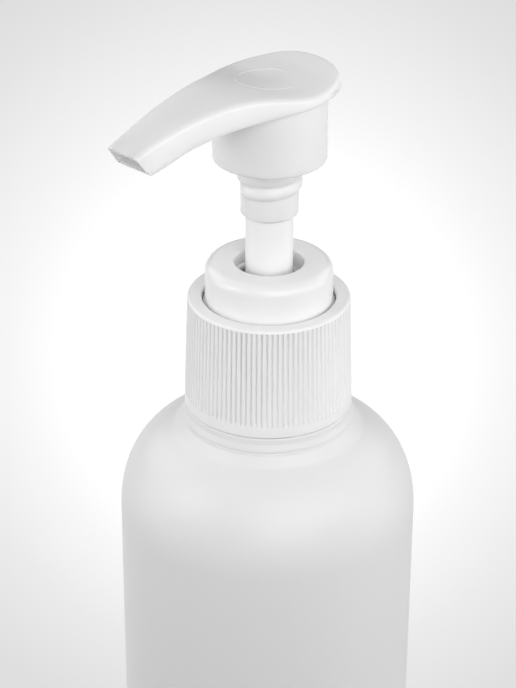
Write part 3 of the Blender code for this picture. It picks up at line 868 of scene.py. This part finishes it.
def smoothPoint(points, place):
    # a smooth curve through all the points, read at a place counted in points
    last = len(points) - 1
    i = min(int(place), last - 1)
    t = place - i
    a, b, c, d = (points[max(0, min(k, last))] for k in range(i - 1, i + 3))
    return b + 0.5 * t * (c - a + t * (2 * a - 5 * b + 4 * c - d + t * (3 * (b - c) + d - a)))


def headOutline(size):
    half = [Vector(point) for point in size["outline"]]
    mirrored = [Vector((half[1].x, -half[1].y))] + half
    perSpan, tips = size["pointsPerSpan"], size["tipPoints"]
    count = (len(half) - 1) * perSpan
    side = [smoothPoint(mirrored, 1 + k / perSpan) for k in range(count + 1)]
    end = side[-1]
    tip = [(end.x, end.y * (1 - 2 * k / tips)) for k in range(1, tips)]
    loop = [tuple(p) for p in side] + tip + [(p.x, -p.y) for p in reversed(side[1:])]
    return [(x * mm, y * mm, 0) for x, y in loop]


def fillWithGrid(piece, height, columns):
    # the flat face at this height gives way to a grid that runs from the back to the tip
    def atHeight(place):
        return abs(place.z - height) < nearly

    pickParts(piece, "FACE", lambda face: atHeight(face.calc_center_median()))
    bpy.ops.mesh.delete(type="ONLY_FACE")
    bpy.ops.mesh.select_mode(type="VERT")
    pickVerts(piece, lambda vert: atHeight(vert.co))
    cage = bmesh.from_edit_mesh(piece.data)
    rim = sum(vert.select for vert in cage.verts)
    bpy.ops.mesh.fill_grid(span=columns, offset=rim // 2 - 1, use_interp_simple=True)


def makePlate(size):
    # a flat plate first: slanting sides, rounded edges, and a grid on both faces
    thick = size["plate"]
    plate = drawLine("thumb_rest", headOutline(size), filled=True)
    bpy.ops.mesh.inset(thickness=size["flare"], depth=thick)
    pickVerts(plate, lambda vert: vert.co.z < nearly)
    bpy.ops.mesh.edge_face_add()
    bpy.ops.mesh.bevel(offset=size["underEdge"], segments=2, affect="EDGES")
    pickVerts(plate, lambda vert: vert.co.z > thick - nearly)
    bpy.ops.mesh.bevel(offset=size["edge"], segments=6, affect="EDGES")
    fillWithGrid(plate, thick, size["tipPoints"])
    fillWithGrid(plate, 0, size["tipPoints"])
    bpy.ops.mesh.select_all(action="SELECT")
    bpy.ops.mesh.normals_make_consistent(inside=False)
    bpy.ops.transform.translate(value=(0, 0, size["rim"]))
    return stopEditing(plate)


def dishPlate(plate, size):
    # a cage of control points bends the plate: its top follows the thumb rest, its foot the rim
    count, thick = len(size["top"]), size["plate"]
    length = size["station"] * (count - 1) * mm
    middle = (size["firstStation"] * mm + length / 2, 0, size["rim"] + thick / 2)
    clearSelection()
    bpy.ops.object.add(type="LATTICE", location=middle)
    cage = bpy.context.object
    cage.data.points_u, cage.data.points_v, cage.data.points_w = count, 3, 4
    cage.data.interpolation_type_u = cage.data.interpolation_type_v = "KEY_CATMULL_ROM"
    cage.data.interpolation_type_w = "KEY_LINEAR"
    cage.scale = (length, size["cageWidth"], thick)
    bpy.context.view_layer.update()
    for k, point in enumerate(cage.data.points):
        u, v, w = k % count, k // count % 3, k // count // 3
        top, foot = size["top"][u] * mm - thick, size["under"][u] * mm
        lift = (foot, (top + 2 * foot) / 3, top, top)[w]
        if v == 1 and w > 1:
            lift += size["crown"][u] * mm
        point.co_deform.z += lift / thick
    applyModifier(plate, "LATTICE", object=cage)
    bpy.data.objects.remove(cage)
    return plate


def makeChannel(size):
    # the liquid's way, from before the tip back to the riser: one face pushed on and resized
    (x, top, foot, half), *others = [[value * mm for value in row] for row in size["channel"]]
    rim = size["rim"]
    corners = ((half, top), (-half, top), (-half, foot), (half, foot))
    channel = drawLine("channel", [(x, y, rim + z) for y, z in corners], filled=True)
    for nextX, nextTop, nextFoot, nextHalf in others:
        rise = (nextTop + nextFoot - top - foot) / 2
        bpy.ops.mesh.extrude_region_move(TRANSFORM_OT_translate={"value": (nextX - x, 0, rise)})
        grow = (1, nextHalf / half, (nextTop - nextFoot) / (top - foot))
        middle = (nextX, 0, rim + (nextTop + nextFoot) / 2)
        bpy.ops.transform.resize(value=grow, center_override=middle)
        x, top, foot, half = nextX, nextTop, nextFoot, nextHalf

    def lengthwise(edge):
        run = edge.verts[1].co - edge.verts[0].co
        return abs(run.x) > abs(run.y) + abs(run.z)

    pickParts(channel, "EDGE", lengthwise)
    bpy.ops.mesh.bevel(offset=size["channelEdge"], segments=3, affect="EDGES")
    return closeUp(channel)


def makeTurnArrow(size, plate):
    # the plate itself, raised a little and seen through a window of the arrow's outline
    middleX, middleY = size["arrowMiddle"]
    radius, line, half = size["arrowRadius"], size["arrowLine"], size["arrowHeadHalf"]
    start, end, steps = size["arrowStart"], size["arrowEnd"], size["arrowSteps"]
    angles = [start + (end - start) * k / steps for k in range(steps + 1)]
    spots = [(radius + line, angle) for angle in angles] + [(radius + half, end)]
    spots += [(radius, end + size["arrowHead"]), (radius - half, end)]
    spots += [(radius - line, angle) for angle in reversed(angles)]
    z = size["rim"] + size["arrowBelow"]
    points = [(middleX + r * math.cos(a), middleY + r * math.sin(a), z) for r, a in spots]
    arrow = drawLine("turn_arrow", points, filled=True)
    bpy.ops.mesh.extrude_region_move(
        TRANSFORM_OT_translate={"value": (0, 0, size["arrowWindow"])}
    )
    closeUp(arrow)
    makeActive(plate)
    bpy.ops.object.duplicate()
    raised = bpy.context.object
    raised.location.z = size["arrowRelief"]
    bpy.ops.object.transform_apply(location=True)
    return combine(arrow, raised, "INTERSECT")


def makeHead(size):
    rim, plugFoot = size["rim"], size["plugFoot"]
    head = dishPlate(makePlate(size), size)
    arrow = makeTurnArrow(size, head)
    # the spout's tip is cut back, from its upper edge inwards
    (topX, topZ), (footX, footZ) = size["tipTop"], size["tipFoot"]
    cutPlace = (topX * mm, 0, rim + topZ * mm)
    cutNormal = Vector((topZ - footZ, 0, footX - topX)).normalized()
    startEditing(head)
    bpy.ops.mesh.select_all(action="SELECT")
    bpy.ops.mesh.bisect(plane_co=cutPlace, plane_no=cutNormal, use_fill=True, clear_outer=True)
    stopEditing(head)
    # skirt and plug under the thumb rest
    skirtR, skirtTop, skirtFoot = (
        size["skirtRadius"], rim + size["skirtTop"], rim - size["skirtHeight"]
    )
    inner, roof, edge = skirtR - size["skirtWall"], rim - size["skirtRoof"], size["plugEdge"]
    line = softCorners(size, [
        (0, skirtTop, 0),
        (skirtR, skirtTop, 0),
        (skirtR, skirtFoot, "skirtEdge"),
        (inner, skirtFoot, fine),
        (inner, roof, edge),
        ("plugRadius", roof, edge),
        ("plugRadius", plugFoot, edge),
        (0, plugFoot, 0),
    ], steps=5)
    combine(head, turnOnLathe("skirt", line, closed=False), "UNION")
    thread = threadBead(
        "plug_thread", size, size["plugRadius"], plugFoot + size["threadStart"],
        size["threadAngle"] - size["heading"], size["threadFade"],
    )
    combine(head, thread, "UNION")
    combine(head, arrow, "UNION")
    combine(head, makeChannel(size), "DIFFERENCE")
    riser, riserTop = size["riser"], rim + size["riserTop"]
    socket, socketTop = size["socket"], plugFoot + size["socketLength"]
    below = plugFoot - size["overrun"]
    line = [(0, riserTop), (riser, riserTop), (riser, socketTop)]
    line += [(socket, socketTop), (socket, below), (0, below)]
    combine(head, turnOnLathe("riser", line, sides=64, closed=False), "DIFFERENCE")
    makeActive(head)
    head.rotation_euler.z = size["heading"]
    return stopEditing(head)


seat(makeHead(head), "actuator", "head", plastics["head"], sharp=30)


# Inner pieces: foam washer, pump housing, dip tube, ball, spring, piston and rod

gasketLow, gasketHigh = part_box("neck_gasket")
gasket = {
    "foot": gasketLow.z,
    "top": gasketHigh.z,
    "inner": 9.2 * mm,
    "radius": gasketHigh.x,
    "edge": 0.2 * mm,
    "pressedRadius": 10.85 * mm,
    "pressed": 0.12 * mm,
    "pressedEdge": 0.05 * mm,
}


def makeGasket(size):
    # the neck's rim has pressed its ring into the underside
    foot, edge, pressed = size["foot"], size["edge"], size["pressed"]
    line = softCorners(size, [
        ("inner", "top", edge),
        ("radius", "top", edge),
        ("radius", foot, edge),
        (size["pressedRadius"] + pressed, foot, "pressedEdge"),
        ("pressedRadius", foot + pressed, "pressedEdge"),
        ("inner", foot + pressed, edge),
    ], steps=3)
    return turnOnLathe("foam_washer", line)


seat(makeGasket(gasket), "neck_gasket", "pump_body", sealFoam)


housingLow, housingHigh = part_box("pump_housing")
housing = {
    "foot": housingLow.z,
    "top": housingHigh.z,
    "flangeRadius": housingHigh.x,
    "flangeFoot": 133.05 * mm,
    "bore": 7.6 * mm,
    "neckRadius": 8.9 * mm,
    "neckFoot": 127.05 * mm,
    "radius": 7.4 * mm,
    "stepHeight": 1.5 * mm,
    "bodyFoot": 93.1 * mm,
    "tailRadius": 4.1 * mm,
    "tailTop": 88.6 * mm,
    "tubeSocket": 3 * mm,
    "socketTop": 87.67 * mm,
    "inlet": 1.6 * mm,
    "seat": 88.67 * mm,
    "cage": 2.75 * mm,
    "cageFoot": 89.82 * mm,
    "cageTop": 93.3 * mm,
    "cageLip": 1.95 * mm,
    "cageSlot": 1 * mm,
    "slotLength": 5.225 * mm,
    "slotDepth": 3 * mm,
    "chamber": 6.4 * mm,
    "chamberFloor": 94.1 * mm,
    "chamberTop": 127.7 * mm,
    "vent": 0.6 * mm,
    "ventPlace": 124.35 * mm,
    "ventSides": 24,
    "edge": 0.2 * mm,
}


def makeHousing(size):
    edge = size["edge"]
    line = softCorners(size, [
        ("bore", "top", edge),
        ("flangeRadius", "top", edge),
        ("flangeRadius", "flangeFoot", edge),
        ("neckRadius", "flangeFoot", 2 * edge),
        ("neckRadius", "neckFoot", 2 * edge),
        ("radius", size["neckFoot"] - size["stepHeight"], 2 * edge),
        ("radius", "bodyFoot", 3 * edge),
        ("tailRadius", "tailTop", 3 * edge),
        ("tailRadius", "foot", edge),
        ("tubeSocket", "foot", edge),
        ("tubeSocket", "socketTop", edge),
        ("inlet", "socketTop", edge / 2),
        ("inlet", "seat", edge / 2),
        ("cage", "cageFoot", edge / 2),
        ("cage", "cageTop", edge / 2),
        ("cageLip", "cageTop", edge / 2),
        ("cageLip", "chamberFloor", edge / 2),
        ("chamber", "chamberFloor", 3 * edge),
        ("chamber", size["chamberTop"] - (size["bore"] - size["chamber"]), edge),
        ("bore", "chamberTop", edge),
    ], steps=3)
    body = turnOnLathe("milky_housing", line)
    clearSelection()
    bpy.ops.mesh.primitive_cylinder_add(
        vertices=size["ventSides"], radius=size["vent"], depth=size["neckRadius"],
        location=(size["neckRadius"], 0, size["ventPlace"]), rotation=(0, math.pi / 2, 0),
    )
    combine(body, bpy.context.object, "DIFFERENCE")
    # crossed slots let the liquid past the lifted ball
    spread = (size["slotLength"], size["cageSlot"], size["slotDepth"])
    middle = (0, 0, size["cageTop"] + size["cageSlot"])
    for turn in (math.pi / 4, -math.pi / 4):
        combine(body, addBox(spread, middle, (0, 0, turn)), "DIFFERENCE")
    return body


seat(makeHousing(housing), "pump_housing", "pump_body", plastics["housing"])


tubeLow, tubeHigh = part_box("dip_tube")
dipTube = {
    "foot": tubeLow.z,
    "top": tubeHigh.z,
    "radius": tubeHigh.x,
    "bore": 1.9 * mm,
    "edge": 0.1 * mm,
    "cutAngle": math.radians(35),
}


def makeDipTube(size):
    # an extruded tube, cut slanting so that it can't seal itself on the bottle's floor
    radius, foot, angle = size["radius"], size["foot"], size["cutAngle"]
    line = softCorners(size, [
        ("bore", "top", "edge"),
        (radius, "top", "edge"),
        (radius, foot, 0),
        ("bore", foot, 0),
    ], steps=3)
    piece = turnOnLathe("clear_tube", line, sides=64)
    side = 4 * radius
    cutTop = Vector((0, 0, foot + radius * math.tan(angle)))
    under = Vector((math.sin(angle), 0, math.cos(angle))) * side / 2
    return combine(piece, addBox((side, side, side), cutTop - under, (0, angle, 0)), "DIFFERENCE")


seat(makeDipTube(dipTube), "dip_tube", "pump_body", plastics["tube"])


ballLow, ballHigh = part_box("inlet_ball")
ball = {"radius": ballHigh.x, "middle": (ballLow.z + ballHigh.z) / 2, "steps": 32}


def makeBall(size):
    radius, middle, steps = size["radius"], size["middle"], size["steps"]
    angles = [math.pi * k / steps for k in range(steps + 1)]
    line = [(radius * math.sin(a), middle + radius * math.cos(a)) for a in angles]
    return turnOnLathe("steel_ball", line, sides=64, closed=False)


seat(makeBall(ball), "inlet_ball", "inlet_valve", steels["ball"], sharp=60)


springLow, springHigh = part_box("return_spring")
springWire = 0.4 * mm
spring = {
    "wire": springWire,
    "coil": springHigh.x - springWire,
    "foot": springLow.z + springWire,
    "top": springHigh.z - springWire,
    "turns": 10,
    "closedTurns": 1.2,
    "closedPitch": 0.83 * mm,
    "stepsPerTurn": 36,
}


def makeSpring(size):
    # wound at one pitch, then its coils are spread: closed at the ends, open between
    turns, closed, closedPitch = size["turns"], size["closedTurns"], size["closedPitch"]
    steps, rise = turns * size["stepsPerTurn"], size["top"] - size["foot"]
    wire = windHelix("wound_spring", size["coil"], size["wire"], size["foot"], rise, turns, steps)
    openPitch = (rise - 2 * closed * closedPitch) / (turns - 2 * closed)
    for k in range(1, steps):
        turn = turns * k / steps
        fromEnd = min(turn, turns - turn)
        climbed = min(fromEnd, closed) * closedPitch + max(0, fromEnd - closed) * openPitch
        if turn > turns / 2:
            climbed = rise - climbed
        pickRing(wire, k * helix["sides"], helix["sides"])
        bpy.ops.transform.translate(value=(0, 0, climbed - rise * k / steps))
    return capHelix(wire, steps)


returnSpring = seat(
    makeSpring(spring), "return_spring", "pump_body", steels["spring"]
)
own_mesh(returnSpring)


pistonLow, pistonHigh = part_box("piston")
piston = {
    "foot": pistonLow.z,
    "top": pistonHigh.z,
    "radius": pistonHigh.x,
    "bore": 4.17 * mm,
    "waist": 5.3 * mm,
    "lip": 0.9 * mm,
    "seatRadius": 5 * mm,
    "seatHeight": 0.3 * mm,
    "lipThickness": 0.45 * mm,
    "cupDepth": 1.2 * mm,
    "cupWall": 0.6 * mm,
    "edge": 0.12 * mm,
}


def makePiston(size):
    # a thin wiping lip round a cup at the top, a plain lip at the foot and a waist between
    top, edge, lip = size["top"], size["edge"], size["lip"]
    foot = size["foot"] + size["seatHeight"]
    line = softCorners(size, [
        ("bore", top, edge),
        (size["bore"] + size["cupWall"], top, edge),
        (size["bore"] + size["cupWall"], top - size["cupDepth"], edge),
        (size["waist"] - size["lipThickness"] / 2, top - size["cupDepth"], edge),
        (size["radius"] - size["lipThickness"], top, edge),
        ("radius", top, edge),
        ("radius", top - lip, 2 * edge),
        ("waist", top - 2 * lip, 2 * edge),
        ("waist", foot + 2 * lip, 2 * edge),
        ("radius", foot + lip, 2 * edge),
        ("radius", foot, edge),
        ("seatRadius", foot, edge / 2),
        ("seatRadius", "foot", edge / 2),
        ("bore", "foot", edge),
    ], steps=4)
    return turnOnLathe("wiper_piston", line)


seat(makePiston(piston), "piston", "piston_ring", plastics["piston"])


rodLow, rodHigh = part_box("piston_rod")
rod = {
    "foot": rodLow.z,
    "top": rodHigh.z,
    "flangeRadius": rodHigh.x,
    "flangeFoot": 120 * mm,
    "flangeTop": 121.3 * mm,
    "spigot": 2.9 * mm,
    "tipEdge": 0.8 * mm,
    "core": 2.1 * mm,
    "web": 1.2 * mm,
    "webStep": 0.3 * mm,
    "edge": 0.15 * mm,
}


def makeRod(size):
    spigot, foot, tipEdge, edge = size["spigot"], size["foot"], size["tipEdge"], size["edge"]
    line = softCorners(size, [
        (0, "flangeTop", 0),
        ("flangeRadius", "flangeTop", edge),
        ("flangeRadius", "flangeFoot", edge),
        (spigot, "flangeFoot", 2 * edge),
        (spigot, foot + tipEdge, edge),
        (spigot - tipEdge, foot, edge),
        (0, foot, 0),
    ], steps=4)
    piece = turnOnLathe("webbed_rod", line, sides=96, closed=False)
    # two crossed webs run up into the stem
    web, step = size["web"], size["webStep"]
    width = 2 * math.sqrt(size["core"] ** 2 - (web / 2) ** 2)
    height = size["top"] - size["flangeFoot"] - 2 * step
    for lower, spread in ((0, (width, web, height)), (step, (web, width, height))):
        middle = (0, 0, size["top"] - lower - height / 2)
        combine(piece, addBox(spread, middle, edge=edge), "UNION")
    return piece


seat(makeRod(rod), "piston_rod", "plunger", plastics["rod"])
print("scene pieces done")


# Camera, where the photograph was taken from

camera = {
    "place": (-1.742 * mm, -343.7 * mm, 313.26 * mm),
    "down": math.radians(28.326),
    "roll": 0.0045,
    "lens": 123.56,
    "sensor": 36,
    "nearest": 10 * mm,
}
bpy.ops.object.camera_add(location=camera["place"])
eye = bpy.context.object
eye.rotation_mode = "ZXY"
eye.rotation_euler = (math.pi / 2 - camera["down"], 0, camera["roll"])
eye.data.lens = camera["lens"]
eye.data.sensor_width = camera["sensor"]
eye.data.clip_start = camera["nearest"]
bpy.context.scene.camera = eye


# Studio: a pale floor with a painted pool of light behind the bottle, and soft lamps round it

floor = {
    "radius": 3,
    "sides": 96,
    "roughness": 0.8,
    "groundShade": 0.17,
    "seenShade": 0.8,
    "glowShare": 0.8,
    # the pool: its spread across and along, where along it starts, how wide it is at the bottle,
    # how it widens to the back, and the width that it keeps in front
    "poolAcross": 5.407,
    "poolAlong": 2.5155,
    "poolStart": 0.5688,
    "poolWidth": 0.3501,
    "poolWidening": 1.3941,
    "poolLeast": 0.05,
    # how bright the painted pool makes the floor look at shares of its reach, and the brightest of
    # them
    "glow": [
        (0, 1.2), (0.4, 1.173), (0.55, 1.033), (0.65, 0.961), (0.75, 0.887), (0.87, 0.826),
        (1, 0.763),
    ],
    "glowTop": 1.2,
}


def makePaintedPool(tree, size):
    # painted pool of light: brightness of the floor by its place
    place = addNode(tree, "SeparateXYZ", {0: objectPlace(tree)}).outputs
    widened = calculate(
        tree, "MULTIPLY_ADD", place["Y"], size["poolWidening"], size["poolWidth"]
    )
    width = calculate(tree, "MAXIMUM", widened, size["poolLeast"])
    across = calculate(tree, "MULTIPLY", place["X"], size["poolAcross"])
    along = calculate(tree, "MULTIPLY_ADD", place["Y"], size["poolAlong"], -size["poolStart"])
    joined = addNode(tree, "CombineXYZ", {0: across, 1: along}).outputs[0]
    away = addNode(tree, "VectorMath", {0: joined}, operation="LENGTH").outputs["Value"]
    ramp = addNode(tree, "ValToRGB", {"Fac": calculate(tree, "DIVIDE", away, width)})
    stops = ramp.color_ramp.elements
    for k, (spot, level) in enumerate(size["glow"]):
        stop = stops[k] if k < 2 else stops.new(spot)
        stop.position = spot
        stop.color = grey(level / size["glowTop"])
    return calculate(tree, "MULTIPLY", ramp.outputs["Color"], size["glowTop"])


def makeFloor(size):
    clearSelection()
    bpy.ops.mesh.primitive_circle_add(
        vertices=size["sides"], radius=size["radius"], fill_type="NGON"
    )
    ground = bpy.context.object
    ground.name = "studio_floor"
    material, tree, shader = startMaterial("studioFloor")
    rays = addNode(tree, "LightPath", {}).outputs
    direct = rays["Is Camera Ray"]
    # the lamps light a darker ground than the one that shows
    shade = addNode(
        tree, "MapRange",
        {"Value": direct, "To Min": size["groundShade"], "To Max": size["seenShade"]},
    )
    tree.links.new(shade.outputs[0], shader.inputs["Base Color"])
    shader.inputs["Roughness"].default_value = size["roughness"]
    pool = makePaintedPool(tree, size)
    strength = addNode(tree, "MapRange", {"Value": direct, "To Min": 1, "To Max": pool})
    glow = addNode(
        tree, "Emission", {"Color": (1, 1, 1, 1), "Strength": strength.outputs[0]}
    ).outputs[0]
    mirrored = calculate(tree, "MAXIMUM", rays["Is Glossy Ray"], rays["Is Transmission Ray"])
    seen = calculate(tree, "MULTIPLY", direct, size["glowShare"])
    share = calculate(tree, "MAXIMUM", seen, mirrored)
    mix = addNode(tree, "MixShader", {0: share, 1: shader.outputs[0], 2: glow})
    tree.links.new(mix.outputs[0], tree.nodes["Material Output"].inputs["Surface"])
    ground.data.materials.append(material)


makeFloor(floor)

# each lamp: degrees round from the front, degrees up, distance, width and watts
lampTarget = Vector((0, 0, 110 * mm))
lamps = {
    "left_highlight": (-65, 28, 0.28, 0.12, 0.185),
    "right_highlight": (60, 28, 0.28, 0.12, 0.115),
    "front_fill": (15, 28, 0.33, 0.3, 0.735),
    "left_side": (-90, 5, 0.45, 0.28, 0.4),
    "right_side": (90, 5, 0.45, 0.28, 0.36),
    "left_rear": (-125, 28, 0.45, 0.3, 0.5),
    "right_rear": (125, 28, 0.45, 0.3, 0.38),
    "back": (180, 40, 0.45, 0.3, 0.19),
}
for name, (turned, raised, distance, width, watts) in lamps.items():
    turned, raised = math.radians(turned), math.radians(raised)
    away = Vector((
        math.sin(turned) * math.cos(raised), -math.cos(turned) * math.cos(raised), math.sin(raised)
    ))
    bpy.ops.object.light_add(type="AREA", location=lampTarget + away * distance)
    light = bpy.context.object
    light.name = name
    light.data.size = width
    light.data.energy = watts
    light.rotation_euler = away.to_track_quat("Z", "Y").to_euler()
    light.visible_camera = False

# the world's light on the bottle, and the level at which it shows
surround = {"light": 0.19, "seen": 0.745}
world = bpy.context.scene.world or bpy.data.worlds.new("studio")
bpy.context.scene.world = world
world.use_nodes = True
sky = world.node_tree.nodes["Background"]
direct = addNode(world.node_tree, "LightPath", {}).outputs["Is Camera Ray"]
level = addNode(
    world.node_tree, "MapRange",
    {"Value": direct, "To Min": surround["light"], "To Max": surround["seen"]},
)
world.node_tree.links.new(level.outputs[0], sky.inputs["Strength"])
sky.inputs["Color"].default_value = (1, 1, 1, 1)
bpy.context.scene.view_settings.view_transform = "Standard"
print("studio ready")
